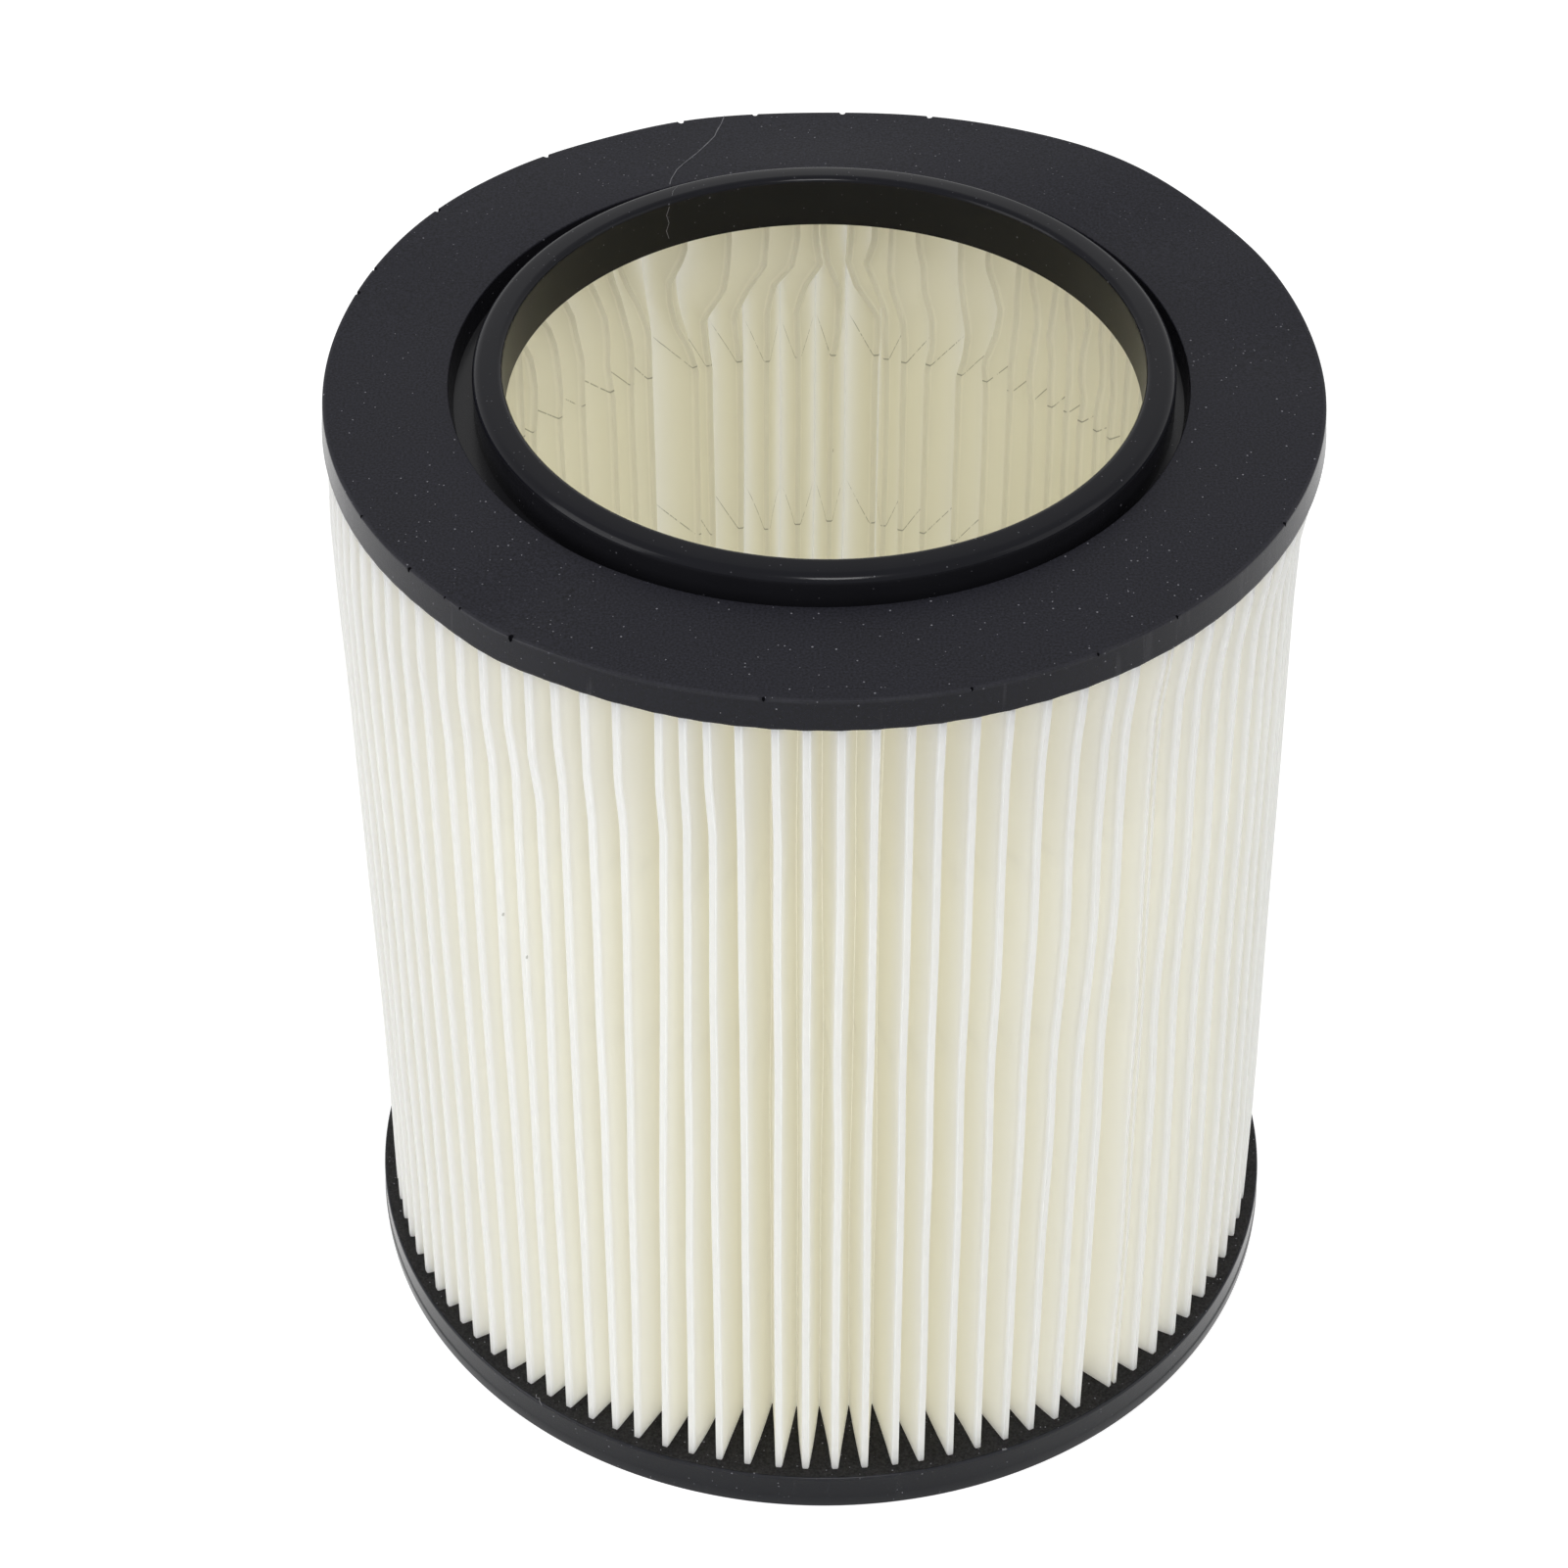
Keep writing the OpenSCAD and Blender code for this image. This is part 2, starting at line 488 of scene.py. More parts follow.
def cast_place(point):
    """Where a point of the top cap ends up: the cap came out of its mould a little uneven."""
    azimuth = azimuth_of(point)
    radius = point.xy.length
    height = point.z
    swell = sum(
        rise * MM * hump(turn_between(azimuth, middle), 0, width)
        for middle, width, rise in TOP_SWELLS
    )
    swell *= ramp(radius, BORE_RADIUS, TOP_RIM_RADIUS)
    moved = point.copy() + CAP_SIDESTEP
    moved.z += swell
    in_groove = ramp(radius, GROOVE_RADIUS - 1.6 * MM, GROOVE_RADIUS - 0.9 * MM)
    in_groove *= 1 - ramp(radius, GROOVE_RADIUS + 1 * MM, GROOVE_RADIUS + 14 * MM)
    moved += GROOVE_SIDESTEP * in_groove
    if height < TOP_CAP_LOW + 0.5 * MM and radius > OUTER_FOLD_RADIUS - 2 * MM:
        moved.z -= creep_at(azimuth) * 0.12 * MM
    return moved


def creep_at(azimuth):
    """The casting crept a little down each outer fold: 1 on a fold and 0 between two."""
    nearest = min(abs(turn_between(azimuth, a)) for a in outer_fold_tops())
    return max(0, 1 - nearest / 1.5)


def add_bottom_cap():
    reach = BOTTOM_CAP_REACH
    cap = turned_casting(
        "bottom_cap_casting",
        [
            (STUD_HOLE_RADIUS, 0),
            (45 * MM, 0),
            (reach - 0.1 * MM, 0),
            (reach, PARTING_HEIGHT),
            (reach - 0.2 * MM, PARTING_HEIGHT + 0.4 * MM),
            (BOTTOM_RIM_RADIUS + 0.1 * MM, LEDGE - 0.7 * MM),
            (BOTTOM_RIM_RADIUS, LEDGE),
            (BOTTOM_RIM_RADIUS - 0.7 * MM, LEDGE),
            (80 * MM, LEDGE),
            (45 * MM, LEDGE),
            (STUD_HOLE_RADIUS, LEDGE),
        ],
    )
    round_edge(cap, STUD_HOLE_RADIUS, LEDGE, 0.5 * MM, 3)
    round_edge(cap, STUD_HOLE_RADIUS, 0, 0.5 * MM, 3)
    round_edge(cap, BOTTOM_RIM_RADIUS, LEDGE, 0.35 * MM, 3)
    round_edge(cap, reach - 0.1 * MM, 0, 0.15 * MM, 2)
    # A painted highlight along the rounded edge of the rim.
    mark_painted_edge_highlight(cap, BOTTOM_RIM_RADIUS, LEDGE)
    shade_flat_faces(cap)
    cap.data.materials.append(cast_black("cast_black_rim", RIM_COLOUR, 0.17, 0.22, 0.05, 0.12))
    cap.data.materials.append(cast_black("cast_black_ledge", LEDGE_COLOUR, 0.1, 0.5, 0))
    for face in cap.data.polygons:
        if face.center.xy.length < BOTTOM_RIM_RADIUS - 0.3 * MM:
            face.material_index = 1
    add_strips(cap, [(HAIR, 0.2 * MM), (FLECK, 0.5 * MM)])
    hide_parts("bottom_end_cap")
    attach(cap, "root")
    return cap


# ---- the folded sheet ----

# Outer folds, counted between azimuths at the foot: (from, to, gaps). The sheet's two ends
# meet between the last and the first, in a fin.
FOLD_STRETCHES = [
    (-45.1, -17.5, 7), (-17.5, 38.3, 16), (38.3, 62, 7), (62, 79.4, 4), (79.4, 92, 3),
    (92, 106.2, 3), (106.2, 114.7, 2), (114.7, 120.1, 1), (120.1, 137.9, 4),
    (137.9, 195.7, 16), (195.7, 246.7, 15), (246.7, 305.1, 16),
]
FIN_AZIMUTH = -49.1
FIN_HALF_WIDTH = 0.45

# How far pleats lean round the filter from foot to top: (azimuth, turn, width)
LEANS = [(-109.5, 2.0, 4.5), (-59, 2.0, 7), (-38, -0.8, 6)]
LEAN_ELSEWHERE = -0.3

# Inner folds that show through the opening. Their upper ends were crushed sideways when the
# sheet was potted: (azimuth at the foot, turns at each of the CRUSH_HEIGHTS).
CRUSH_HEIGHTS = (152 * MM, 158 * MM, 164 * MM, 170 * MM, 175 * MM, 181 * MM)
SEEN_INSIDE_FROM = 24
SEEN_INSIDE = [
    (40.0, (0, 0, 0, 0, 0)),
    (42.9, (0, 0, 0, 0, 0)),
    (46.0, (0, 0, 0, 0, 0.2)),
    (49.3, (0, 0, 0, 0.2, 0.3)),
    (52.4, (0, 0, 0, 0.1, 0)),
    (55.9, (0, 0, -0.2, 0.1, 0.3)),
    (59.9, (0, -0.2, -0.4, -0.7, -1.0)),
    (64.1, (0, -1.4, -1.9, -0.9, 0)),
    (68.8, (-1.2, -1.7, -0.6, 0.3, 0.7)),
    (74.1, (-0.7, -0.5, 0.8, 1.2, 1.9)),
    (77.8, (0, 0.3, 2.2, 2.5, 2.4)),
    (80.6, (0.1, 0.3, 2.2, 3.5, 2.2)),
    (82.5, (-0.3, -0.2, 3.0, 4.4, 3.9)),
    (89.5, (-0.8, -1.0, -0.9, 0.6, 1.2)),
    (94.6, (0.1, 0.3, -1.0, -3.2, -2.5)),
    (99.6, (0, 0, -1.0, -3.7, -4.7)),
    (103.9, (0.5, 0.7, -1.5, -3.8, -4.4)),
    (108.6, (0.7, 0.9, -2.2, -2.8, -3.1)),
    (110.9, (1.2, 3.2, 4.2, 4.4, 1.8)),
    (118.5, (0, -0.2, 1.1, 2.6, 4.4)),
    (121.7, (0, 0.3, 1.0, 2.2, 3.6)),
    (125.3, (0, 0, 0.3, 1.3, 3.2)),
    (130.5, (0.1, 0.3, 0.9, 2.0, 3.6)),
    (135.3, (0, 0, 0.2, 1.7, 3.8)),
    (140.5, (0, 0, 0.1, 1.2, 3.0)),
]

# The kinks in the pleats on the left of the front
KINK_AZIMUTH = -125
KINK_WIDTH = 22
KINK_HEIGHT = 178 * MM
KINK_RUN = 10 * MM
KINK_FADE = 80 * MM
KINK_TURN = 0.75

# Shares of its turn at which a bend has its corners. The outer folds are pressed flat.
OUTER_BEND = (0.2, 0.8, 1)
INNER_BEND = (0.18, 0.82, 1)
FLANK_FACES = 3
ROW_HEIGHTS = (
    [SHEET_LOW]
    + [LEDGE + i * 6.9 * MM for i in range(21)]
    + [152 * MM + i * 2.3 * MM for i in range(18)]
    + [SHEET_HIGH]
)

random.seed(7)


def fold_feet():
    """Azimuths at the foot of all folds in turn, from one end of the sheet to the other."""
    outer = [FOLD_STRETCHES[0][0]]
    for start, end, gaps in FOLD_STRETCHES:
        outer += [start + (end - start) * (i + 1) / gaps for i in range(gaps)]
    return outer


OUTER_FEET = [a + random.uniform(-0.22, 0.22) for a in fold_feet()]
FOLD_SEEDS = [random.uniform(0, 100) for _ in range(2 * len(OUTER_FEET) + 3)]


def lean_at(azimuth):
    return LEAN_ELSEWHERE + sum(
        turn * hump(turn_between(azimuth, middle), 0, width) for middle, turn, width in LEANS
    )


def outer_fold_tops():
    return [a + lean_at(a) for a in OUTER_FEET] + [FIN_AZIMUTH]


def crush_at(turns, height):
    """A crushed fold's turn or push, which runs straight from one crease to the next."""
    turns = (0, *turns)
    if height <= CRUSH_HEIGHTS[0]:
        return 0
    for k in range(len(turns) - 1):
        low, high = CRUSH_HEIGHTS[k], CRUSH_HEIGHTS[k + 1]
        if height <= high:
            return turns[k] + (turns[k + 1] - turns[k]) * (height - low) / (high - low)
    return turns[-1]


def waver(seed, height, wavelength):
    """Smooth noise along a fold, from about -1 to 1."""
    return 2 * noise.noise(Vector((seed, height / wavelength, 0.5)))


def pack_swell(azimuth, height):
    """The pack bulges to the left and is pressed in on the right, most under the top cap."""
    rise = min(max((height - 40 * MM) / (120 * MM), 0), 1)
    held = ramp(height, 176 * MM, TOP_CAP_LOW)
    across = math.cos(math.radians(azimuth))
    free = (-1.85 * across - 0.5) * MM * rise
    return free + (CAP_SIDESTEP.x * across - free) * held


def wave_at(azimuth, height):
    """A shallow wave across the pleats on the right of the front, half way up."""
    across = hump(turn_between(azimuth, -50), 0, 20)
    return 0.4 * across * (hump(height, 138 * MM, 15 * MM) - hump(height, 106 * MM, 14 * MM))


def kink_at(azimuth, seed, height):
    """Pleats on the left of the front hang straight from the top cap, then kink to the right."""
    share = hump(turn_between(azimuth, KINK_AZIMUTH), 0, KINK_WIDTH)
    share *= 1 + 0.5 * waver(seed + 20, 0, 1)
    high = KINK_HEIGHT + 3 * MM * waver(seed + 40, 0, 1)
    low = high - KINK_RUN
    if height > low:
        fall = min(max((high - height) / KINK_RUN, 0), 1)
    else:
        fall = max(0, 1 - (low - height) / KINK_FADE)
    return KINK_TURN * share * fall


def fold_centre(fold, height):
    """Where the bend of a fold has its centre at this height.

    Folds are numbered along the sheet: 0 and the last are its cut ends, odd ones are inner
    folds and even ones outer folds.
    """
    last = 2 * len(OUTER_FEET) + 2
    rise = (height - LEDGE) / (TOP_CAP_LOW - LEDGE)
    seed = FOLD_SEEDS[fold]
    free = math.sin(math.pi * min(max(rise, 0), 1))
    if fold in (0, last):
        side = 1 if fold == 0 else -1
        azimuth = FIN_AZIMUTH + side * FIN_HALF_WIDTH + 0.25 * waver(0.3, height, 40 * MM)
        radius = OUTER_FOLD_RADIUS - 0.3 * MM
    elif fold % 2 == 0:
        foot = OUTER_FEET[fold // 2 - 1]
        azimuth = foot + lean_at(foot) * rise
        azimuth += 0.07 * free * waver(seed, height, 30 * MM)
        azimuth += 0.09 * free * waver(foot / 6, height, 45 * MM)
        azimuth += wave_at(foot, height) + kink_at(foot, seed, height)
        radius = OUTER_FOLD_RADIUS - FOLD_RADIUS - SHEET_THICKNESS / 2 + 0.12 * MM
        radius -= free * 0.3 * MM * (1 + 0.6 * waver(seed + 30, height, 60 * MM))
    else:
        feet = [FIN_AZIMUTH] + OUTER_FEET + [FIN_AZIMUTH + 360]
        before, after = feet[(fold - 1) // 2], feet[(fold + 1) // 2]
        middle = (before + after) / 2 + 0.5 * waver(seed, 0, 1)
        azimuth = middle + lean_at(middle) * rise + 0.2 * waver(seed, height, 45 * MM)
        push = 0
        seen = (fold - 1) // 2 - SEEN_INSIDE_FROM
        if 0 <= seen < len(SEEN_INSIDE):
            middle, turns = SEEN_INSIDE[seen]
            azimuth = middle + crush_at(turns, height) + 0.08 * waver(seed, height, 35 * MM)
            push = crush_at([1.3 * MM * waver(seed + 11, k, 1.7) for k in range(5)], height)
        radius = INNER_FOLD_RADIUS + FOLD_RADIUS + SHEET_THICKNESS / 2 + push
        radius += 0.3 * MM * waver(seed + 60, height, 50 * MM)
    a = math.radians(azimuth)
    return Vector((math.cos(a), math.sin(a))) * (radius + pack_swell(azimuth, height))


def right_of(direction):
    return Vector((direction.y, -direction.x))


def turned(direction, angle):
    c, s = math.cos(angle), math.sin(angle)
    return Vector((direction.x * c - direction.y * s, direction.x * s + direction.y * c))


def fold_path(height):
    """Points of the middle of the sheet at one height, and how deep in its pleat each lies.

    The sheet bends left round an outer fold and right round an inner one, and each flank is
    the line that touches both bends.
    """
    count = 2 * len(OUTER_FEET) + 3
    centres = [fold_centre(k, height) for k in range(count)]
    bend = [0 if k in (0, count - 1) else FOLD_RADIUS for k in range(count)]
    side = [1 if k % 2 == 0 else -1 for k in range(count)]
    flanks = []
    for k in range(count - 1):
        across = centres[k + 1] - centres[k]
        tilt = math.asin((bend[k] + bend[k + 1]) / across.length)
        flanks.append(turned(across.normalized(), side[k] * tilt))
    points, depths = [centres[0]], [0]
    for k in range(count - 1):
        direction = flanks[k]
        start = centres[k] + side[k] * bend[k] * right_of(direction)
        end = centres[k + 1] + side[k + 1] * bend[k + 1] * right_of(direction)
        bow = 0.18 * MM * waver(FOLD_SEEDS[k] + 90, height, 60 * MM)
        for i in range(1, FLANK_FACES + 1):
            share = i / FLANK_FACES
            swell = bow * math.sin(math.pi * share)
            points.append(start.lerp(end, share) + swell * right_of(direction))
            depths.append(share if side[k] > 0 else 1 - share)
        if k == count - 2:
            break
        turn = -flanks[k].angle_signed(flanks[k + 1])
        if side[k + 1] > 0 and turn < 0:
            turn += 2 * math.pi
        if side[k + 1] < 0 and turn > 0:
            turn -= 2 * math.pi
        for share in OUTER_BEND if side[k + 1] > 0 else INNER_BEND:
            heading = turned(direction, turn * share)
            points.append(centres[k + 1] + side[k + 1] * bend[k + 1] * right_of(heading))
            depths.append(0 if side[k + 1] > 0 else 1)
    return points, depths


# Specks of dirt on the sheet: (azimuth, height, radius at which they are seen)
SPECKS_OUTSIDE = [(-126.3, 126.1 * MM, 86.3 * MM), (-129.8, 133.5 * MM, 86.3 * MM)]
SPECKS_INSIDE = [(89.2, 130.4 * MM, 72.5 * MM)]


def speck_on_sheet(place, run, azimuth, height, radius):
    """Where on the flat sheet a speck lies that is seen at this place on the folded one."""
    a = math.radians(azimuth)
    spot = Vector((math.cos(a) * radius, math.sin(a) * radius, height))
    column, _ = min(place, key=lambda cell: (place[cell] - spot).length)
    return run[column], height


def add_sheet():
    """The flat sheet is a grid, which is then folded row by row."""
    first_row, depths = fold_path(LEDGE)
    columns = len(first_row) - 1
    rows = len(ROW_HEIGHTS) - 1
    clear_selection()
    bpy.ops.mesh.primitive_grid_add(x_subdivisions=columns, y_subdivisions=rows, size=1)
    sheet = bpy.context.object
    sheet.name = "folded_filter_sheet"
    run = [0]
    for a, b in zip(first_row, first_row[1:]):
        run.append(run[-1] + (b - a).length)

    place = {}
    for row, height in enumerate(ROW_HEIGHTS):
        for column, point in enumerate(fold_path(height)[0]):
            place[column, row] = Vector((point.x, point.y, height))
    cells = [
        (round((v.co.x + 0.5) * columns), round((v.co.y + 0.5) * rows))
        for v in sheet.data.vertices
    ]
    depth = sheet.data.attributes.new("fold_depth", "FLOAT", "POINT")
    for v, (column, row) in zip(sheet.data.vertices, cells):
        v.co = place[column, row]
        depth.data[v.index].value = depths[column]
    uv = sheet.data.uv_layers.active
    uv.name = "sheet_run"
    for loop in sheet.data.loops:
        column, row = cells[loop.vertex_index]
        uv.data[loop.index].uv = (run[column], ROW_HEIGHTS[row])
    sheet.data.update()

    thick = sheet.modifiers.new("thickness", "SOLIDIFY")
    thick.thickness = SHEET_THICKNESS
    thick.offset = 0
    thick.use_even_offset = True
    thick.material_offset = 1
    dusty_specks = [speck_on_sheet(place, run, *speck) for speck in SPECKS_OUTSIDE]
    clean_specks = [speck_on_sheet(place, run, *speck) for speck in SPECKS_INSIDE]
    # The two sides get copies of the felt with painted light and shade: the outer one brighter, the
    # clean one darker.
    sheet.data.materials.append(filter_felt("felt_outer_side_painted_light", False, dusty_specks))
    sheet.data.materials.append(filter_felt("felt_inner_side_painted_light", True, clean_specks))
    apply_modifiers(sheet)
    bpy.ops.object.mode_set(mode="EDIT")
    bpy.ops.mesh.select_all(action="SELECT")
    bpy.ops.mesh.normals_make_consistent(inside=False)
    bpy.ops.object.mode_set(mode="OBJECT")
    shade_flat_faces(sheet, 60)
    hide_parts("pleated_media")
    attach(sheet, "root")
    return sheet


# ---- materials ----


def new_material(name):
    material = bpy.data.materials.new(name)
    material.use_nodes = True
    return material, material.node_tree


def math_node(tree, operation, *values):
    node = tree.nodes.new("ShaderNodeMath")
    node.operation = operation
    for socket, value in zip(node.inputs, values):
        if isinstance(value, (int, float)):
            socket.default_value = value
        else:
            tree.links.new(value, socket)
    return node.outputs[0]


def noise_node(tree, coordinates, scale, detail=3, roughness=0.5):
    node = tree.nodes.new("ShaderNodeTexNoise")
    node.inputs["Scale"].default_value = scale
    node.inputs["Detail"].default_value = detail
    node.inputs["Roughness"].default_value = roughness
    tree.links.new(coordinates, node.inputs["Vector"])
    return node.outputs["Fac"]


def scaled(tree, coordinates, scale):
    node = tree.nodes.new("ShaderNodeMapping")
    node.inputs["Scale"].default_value = scale
    tree.links.new(coordinates, node.inputs["Vector"])
    return node.outputs["Vector"]


def object_coordinates(tree):
    return tree.nodes.new("ShaderNodeTexCoord").outputs["Object"]


def band(tree, value, low, high, soft):
    """1 where value is between low and high, with soft edges."""
    rise = tree.nodes.new("ShaderNodeMapRange")
    rise.interpolation_type = "SMOOTHSTEP"
    tree.links.new(value, rise.inputs["Value"])
    rise.inputs["From Min"].default_value = low - soft
    rise.inputs["From Max"].default_value = low
    fall = tree.nodes.new("ShaderNodeMapRange")
    fall.interpolation_type = "SMOOTHSTEP"
    tree.links.new(value, fall.inputs["Value"])
    fall.inputs["From Min"].default_value = high
    fall.inputs["From Max"].default_value = high + soft
    fall.inputs["To Min"].default_value = 1
    fall.inputs["To Max"].default_value = 0
    return math_node(tree, "MULTIPLY", rise.outputs["Result"], fall.outputs["Result"])


def mixed_colour(tree, share, first, second):
    node = tree.nodes.new("ShaderNodeMix")
    node.data_type = "RGBA"
    tree.links.new(share, node.inputs[0])
    for socket, colour in ((node.inputs[6], first), (node.inputs[7], second)):
        if isinstance(colour, tuple):
            socket.default_value = (*colour, 1)
        else:
            tree.links.new(colour, socket)
    return node.outputs[2]


def void_painted_shade():
    """Inside the small voids of the castings: near-black, painted shade in these recesses."""
    material = bpy.data.materials.get("void_painted_shade")
    if material:
        return material
    material, tree = new_material("void_painted_shade")
    surface = tree.nodes["Principled BSDF"]
    surface.inputs["Roughness"].default_value = 0.8
    surface.inputs["Specular IOR Level"].default_value = 0.05
    grain = noise_node(tree, object_coordinates(tree), 4000)
    colour = mixed_colour(tree, grain, (0.002, 0.002, 0.003), (0.006, 0.006, 0.008))
    tree.links.new(colour, surface.inputs["Base Color"])
    return material


MATT_COLOUR = (0.0147, 0.0147, 0.0205)
SATIN_COLOUR = (0.0035, 0.0037, 0.0075)
RIM_COLOUR = (0.0022, 0.0030, 0.0060)
LEDGE_COLOUR = (0.021, 0.0205, 0.021)
COLLAR_COLOUR = (0.0045, 0.0047, 0.0078)
# The bore and the groove are darker than the face: partly their smoother skin, partly painted shade
# in these recesses.
BORE_SKIN_AND_SHADE_COLOUR = (0.0046, 0.0046, 0.0052)
GROOVE_SKIN_AND_SHADE_COLOUR = (0.0100, 0.0100, 0.0122)
DUST_COLOUR = (0.26, 0.26, 0.29)
# Paler colour of the real scuffs down the rims, and of the painted highlight along their rounded
# edges.
SCUFF_AND_HIGHLIGHT_COLOUR = (0.075, 0.075, 0.085)


def skin_bump(tree, where, surface, strength):
    """The fine grain of the skin of the foam."""
    bump = tree.nodes.new("ShaderNodeBump")
    bump.inputs["Strength"].default_value = strength
    bump.inputs["Distance"].default_value = 0.06 * MM
    tree.links.new(noise_node(tree, where, 1400, 4, 0.6), bump.inputs["Height"])
    tree.links.new(bump.outputs["Normal"], surface.inputs["Normal"])


def cast_black(name, base, specular, roughness, scuff, sheen=0):
    """Blue-black cast polyurethane: matt, with dust specks, faint scuffs down its rim and a painted
    highlight along its rounded outer edge.
    """
    material, tree = new_material(name)
    surface = tree.nodes["Principled BSDF"]
    where = object_coordinates(tree)
    cloud = noise_node(tree, where, 60, 5, 0.6)
    grain = noise_node(tree, where, 2200, 2, 0.6)
    coarse = math_node(tree, "ADD", math_node(tree, "MULTIPLY", cloud, 0.35), 0.325)
    fine = math_node(tree, "MULTIPLY", math_node(tree, "SUBTRACT", grain, 0.5), 2.2)
    shade = math_node(tree, "ADD", coarse, fine)
    darker = tuple(0.35 * c for c in base)
    lighter = tuple(1.65 * c for c in base)
    skin = mixed_colour(tree, shade, darker, lighter)
    scuffs = noise_node(tree, scaled(tree, where, (300, 300, 12)), 1, 3, 0.6)
    scuffed = math_node(tree, "MULTIPLY", band(tree, scuffs, 0.68, 2, 0.06), on_rim(tree))
    skin = mixed_colour(tree, math_node(tree, "MULTIPLY", scuffed, scuff), skin, SCUFF_AND_HIGHLIGHT_COLOUR)
    # A paler, mottled line along the rounded outer edges: a painted highlight.
    highlight_attribute = tree.nodes.new("ShaderNodeAttribute")
    highlight_attribute.attribute_name = "painted_edge_highlight"
    painted_highlight = math_node(tree, "MULTIPLY", highlight_attribute.outputs["Fac"], cloud)
    skin = mixed_colour(tree, math_node(tree, "MULTIPLY", painted_highlight, 0.4), skin, SCUFF_AND_HIGHLIGHT_COLOUR)
    skin = mixed_colour(tree, dust_specks(tree, where), skin, DUST_COLOUR)
    tree.links.new(skin, surface.inputs["Base Color"])
    surface.inputs["Specular IOR Level"].default_value = specular
    surface.inputs["Sheen Weight"].default_value = sheen
    surface.inputs["Sheen Roughness"].default_value = 0.3
    rough = tree.nodes.new("ShaderNodeMapRange")
    tree.links.new(cloud, rough.inputs["Value"])
    rough.inputs["To Min"].default_value = roughness - 0.06
    rough.inputs["To Max"].default_value = roughness + 0.06
    tree.links.new(rough.outputs["Result"], surface.inputs["Roughness"])
    skin_bump(tree, where, surface, 0.25)
    return material


def on_rim(tree):
    """1 on upright faces and 0 on level ones."""
    normal = tree.nodes.new("ShaderNodeSeparateXYZ")
    coordinates = tree.nodes.new("ShaderNodeTexCoord")
    tree.links.new(coordinates.outputs["Normal"], normal.inputs["Vector"])
    level = math_node(tree, "ABSOLUTE", normal.outputs["Z"])
    return math_node(tree, "LESS_THAN", level, 0.5)


def smooth_black(name, base, specular, roughness):
    """The collar, its groove and its bore came out of a polished part of the mould; the groove's and
    bore's darker copies also hold painted shade for these recesses.
    """
    material, tree = new_material(name)
    surface = tree.nodes["Principled BSDF"]
    where = object_coordinates(tree)
    cloud = noise_node(tree, where, 90, 4, 0.6)
    darker = tuple(0.8 * c for c in base)
    lighter = tuple(1.3 * c for c in base)
    skin = mixed_colour(tree, cloud, darker, lighter)
    dust = math_node(tree, "MULTIPLY", dust_specks(tree, where), 0.5)
    skin = mixed_colour(tree, dust, skin, DUST_COLOUR)
    tree.links.new(skin, surface.inputs["Base Color"])
    surface.inputs["Specular IOR Level"].default_value = specular
    surface.inputs["Roughness"].default_value = roughness
    skin_bump(tree, where, surface, 0.12)
    return material


def pale_dust():
    """Dust in the hairline crack, and the colour of the hair and the fleck."""
    material = bpy.data.materials.get("pale_dust")
    if material:
        return material
    material, tree = new_material("pale_dust")
    surface = tree.nodes["Principled BSDF"]
    grain = noise_node(tree, object_coordinates(tree), 900, 3, 0.7)
    colour = mixed_colour(tree, grain, (0.06, 0.06, 0.066), (0.36, 0.36, 0.38))
    tree.links.new(colour, surface.inputs["Base Color"])
    surface.inputs["Roughness"].default_value = 0.9
    surface.inputs["Specular IOR Level"].default_value = 0.05
    return material


# Dust specks: (cells in a metre, size of the largest as a share of a cell, share of empty cells)
DUST_CELLS = [(1100, 0.19, 0.55), (500, 0.09, 0.6), (200, 0.05, 0.6)]


def dust_specks(tree, where):
    """Pale specks: one in some of the cells of a cell pattern, each with its own size."""
    total = None
    for cells_per_metre, radius, least in DUST_CELLS:
        cells = tree.nodes.new("ShaderNodeTexVoronoi")
        cells.inputs["Scale"].default_value = cells_per_metre
        tree.links.new(where, cells.inputs["Vector"])
        pick = tree.nodes.new("ShaderNodeSeparateColor")
        tree.links.new(cells.outputs["Color"], pick.inputs["Color"])
        chosen = math_node(tree, "GREATER_THAN", pick.outputs["Red"], least)
        size = math_node(tree, "MULTIPLY", pick.outputs["Green"], radius)
        inside = math_node(tree, "LESS_THAN", cells.outputs["Distance"], size)
        speck = math_node(tree, "MULTIPLY", chosen, inside)
        shade = math_node(tree, "POWER", pick.outputs["Blue"], 2)
        speck = math_node(tree, "MULTIPLY", speck, shade)
        total = speck if total is None else math_node(tree, "MAXIMUM", total, speck)
    return total


SCORE_HEIGHTS = (112 * MM, 153.5 * MM)


def score_lines(tree, run, depth):
    """Thin broken grey lines across the inner folds, left by the pleating knives."""
    parts = tree.nodes.new("ShaderNodeSeparateXYZ")
    tree.links.new(run, parts.inputs["Vector"])
    drift = noise_node(tree, scaled(tree, run, (9, 0, 0)), 1)
    drift = math_node(tree, "MULTIPLY", math_node(tree, "SUBTRACT", drift, 0.5), 7 * MM)
    height = math_node(tree, "ADD", parts.outputs["Y"], drift)
    broken = band(tree, noise_node(tree, scaled(tree, run, (420, 90, 0)), 1, 3, 0.8), 0.5, 2, 0.1)
    near_fold = band(tree, depth, 0.35, 2, 0.3)
    lines = None
    for score_height in SCORE_HEIGHTS:
        line = band(tree, height, score_height - 0.1 * MM, score_height + 0.1 * MM, 0.12 * MM)
        lines = line if lines is None else math_node(tree, "MAXIMUM", lines, line)
    lines = math_node(tree, "MULTIPLY", lines, broken)
    return math_node(tree, "MULTIPLY", lines, near_fold)


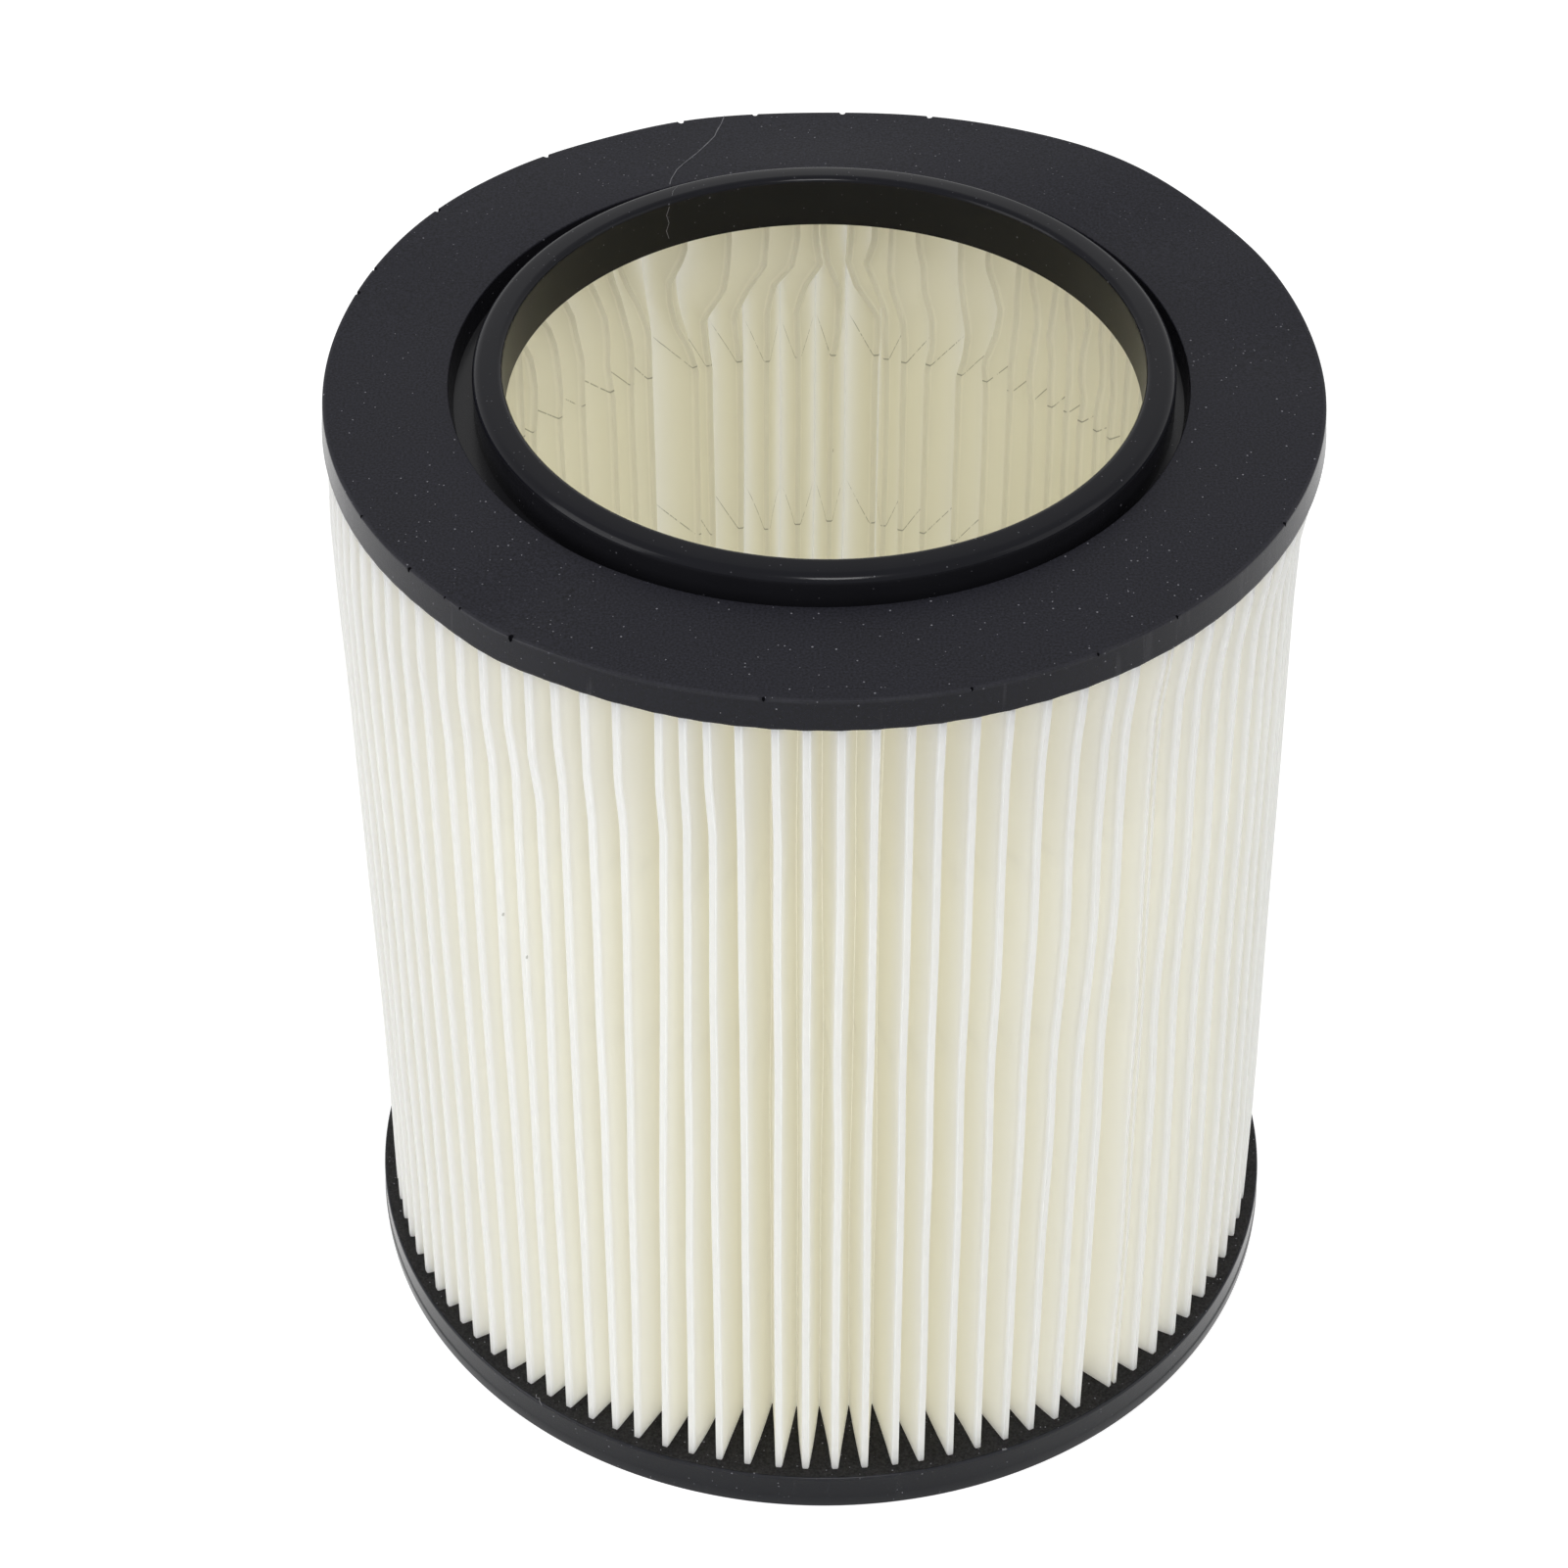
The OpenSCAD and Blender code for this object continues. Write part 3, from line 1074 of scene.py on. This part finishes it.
def near_specks(tree, run, specks):
    """1 on each speck of dirt, which is longer than it is wide."""
    total = None
    for along, height in specks:
        offset = tree.nodes.new("ShaderNodeVectorMath")
        offset.operation = "SUBTRACT"
        tree.links.new(run, offset.inputs[0])
        offset.inputs[1].default_value = (along, height, 0)
        distance = tree.nodes.new("ShaderNodeVectorMath")
        distance.operation = "LENGTH"
        tree.links.new(scaled(tree, offset.outputs[0], (1, 0.4, 0)), distance.inputs[0])
        speck = math_node(tree, "LESS_THAN", distance.outputs["Value"], 0.17 * MM)
        total = speck if total is None else math_node(tree, "MAXIMUM", total, speck)
    return math_node(tree, "MULTIPLY", total, 0.4)


def filter_felt(name, clean_side, specks):
    """Off-white filter sheet: white on the outer folds, creamier deep down and on the clean side.
    Its colour and a glow by fold depth and by side are painted light and shade, for light that the
    thin sheet passes on from pleat to pleat.
    """
    material, tree = new_material(name)
    surface = tree.nodes["Principled BSDF"]
    run = tree.nodes.new("ShaderNodeUVMap")
    run.uv_map = "sheet_run"
    where = run.outputs["UV"]
    depth = tree.nodes.new("ShaderNodeAttribute")
    depth.attribute_name = "fold_depth"
    mottle = noise_node(tree, where, 350, 5, 0.6)
    fibres = noise_node(tree, where, 2600, 3, 0.6)
    deep = math_node(tree, "MULTIPLY", depth.outputs["Fac"], 0.7)
    deep = math_node(tree, "ADD", deep, math_node(tree, "MULTIPLY", mottle, 0.3))
    if clean_side:
        # The clean side is a darker, creamier copy of the sheet: painted shade for the inside, which
        # gets less light.
        felt = mixed_colour(tree, deep, (0.770, 0.758, 0.684), (0.765, 0.752, 0.676))
        parts = tree.nodes.new("ShaderNodeSeparateXYZ")
        tree.links.new(where, parts.inputs["Vector"])
        # Darker towards the top: painted shadow of the top cap.
        cap_shadow = band(tree, parts.outputs["Y"], 180 * MM, 1, 36 * MM)
        felt = mixed_colour(tree, cap_shadow, felt, (0.725, 0.712, 0.645))
        # Painted glow on the clean side: stronger in the valleys than on the ridges, with a painted
        # highlight along each crest.
        ridge = band(tree, depth.outputs["Fac"], 0.95, 2, 0.6)
        glow = mixed_colour(tree, ridge, (0.085, 0.080, 0.062), (0.026, 0.025, 0.020))
        crest_highlight = band(tree, depth.outputs["Fac"], 0.985, 2, 0.035)
        glow = mixed_colour(tree, crest_highlight, glow, (0.285, 0.272, 0.226))
    else:
        # Painted light and shade by depth: bluer and darker on the tips, which the lamps light most,
        # and warmer deep down, where light comes through the sheet.
        felt = mixed_colour(tree, deep, (0.963, 0.970, 0.988), (0.981, 0.980, 0.970))
        behind_tip = math_node(tree, "MULTIPLY", depth.outputs["Fac"], 9)
        behind_tip = math_node(tree, "MINIMUM", behind_tip, 1)
        felt = mixed_colour(tree, behind_tip, (0.94, 0.947, 0.967), felt)
        # The flanks get a painted glow that grows with depth, for light that the pleats pass on to
        # each other. The tips get little.
        valley = math_node(tree, "MULTIPLY", depth.outputs["Fac"], 1.7)
        valley = math_node(tree, "MINIMUM", valley, 1)
        flank_glow = mixed_colour(tree, valley, (0.60, 0.605, 0.62), (0.78, 0.75, 0.62))
        glow = mixed_colour(tree, behind_tip, (0.02, 0.021, 0.025), flank_glow)
    fibre_share = math_node(tree, "MULTIPLY", fibres, 0.1)
    felt = mixed_colour(tree, fibre_share, felt, (0.86, 0.85, 0.78))
    if clean_side:
        lines = math_node(tree, "MULTIPLY", score_lines(tree, where, depth.outputs["Fac"]), 0.55)
        felt = mixed_colour(tree, lines, felt, (0.10, 0.10, 0.075))
        glow = mixed_colour(tree, lines, glow, (0, 0, 0))
    dirt = near_specks(tree, where, specks)
    felt = mixed_colour(tree, dirt, felt, (0.12, 0.11, 0.09))
    glow = mixed_colour(tree, dirt, glow, (0, 0, 0))
    tree.links.new(felt, surface.inputs["Base Color"])
    surface.inputs["Roughness"].default_value = 0.92
    surface.inputs["Specular IOR Level"].default_value = 0.15
    # The glow is painted light: the sheet is no lamp.
    tree.links.new(glow, surface.inputs["Emission Color"])
    surface.inputs["Emission Strength"].default_value = 1
    bump = tree.nodes.new("ShaderNodeBump")
    bump.inputs["Strength"].default_value = 0.35
    bump.inputs["Distance"].default_value = 0.08 * MM
    tree.links.new(math_node(tree, "ADD", fibres, mottle), bump.inputs["Height"])
    tree.links.new(bump.outputs["Normal"], surface.inputs["Normal"])
    through = tree.nodes.new("ShaderNodeBsdfTranslucent")
    tree.links.new(felt, through.inputs["Color"])
    both = tree.nodes.new("ShaderNodeMixShader")
    both.inputs["Fac"].default_value = 0.78
    tree.links.new(surface.outputs["BSDF"], both.inputs[1])
    tree.links.new(through.outputs["BSDF"], both.inputs[2])
    tree.links.new(both.outputs["Shader"], tree.nodes["Material Output"].inputs["Surface"])
    return material


add_camera()
light_studio()
add_floor()
add_top_cap()
add_bottom_cap()
add_sheet()
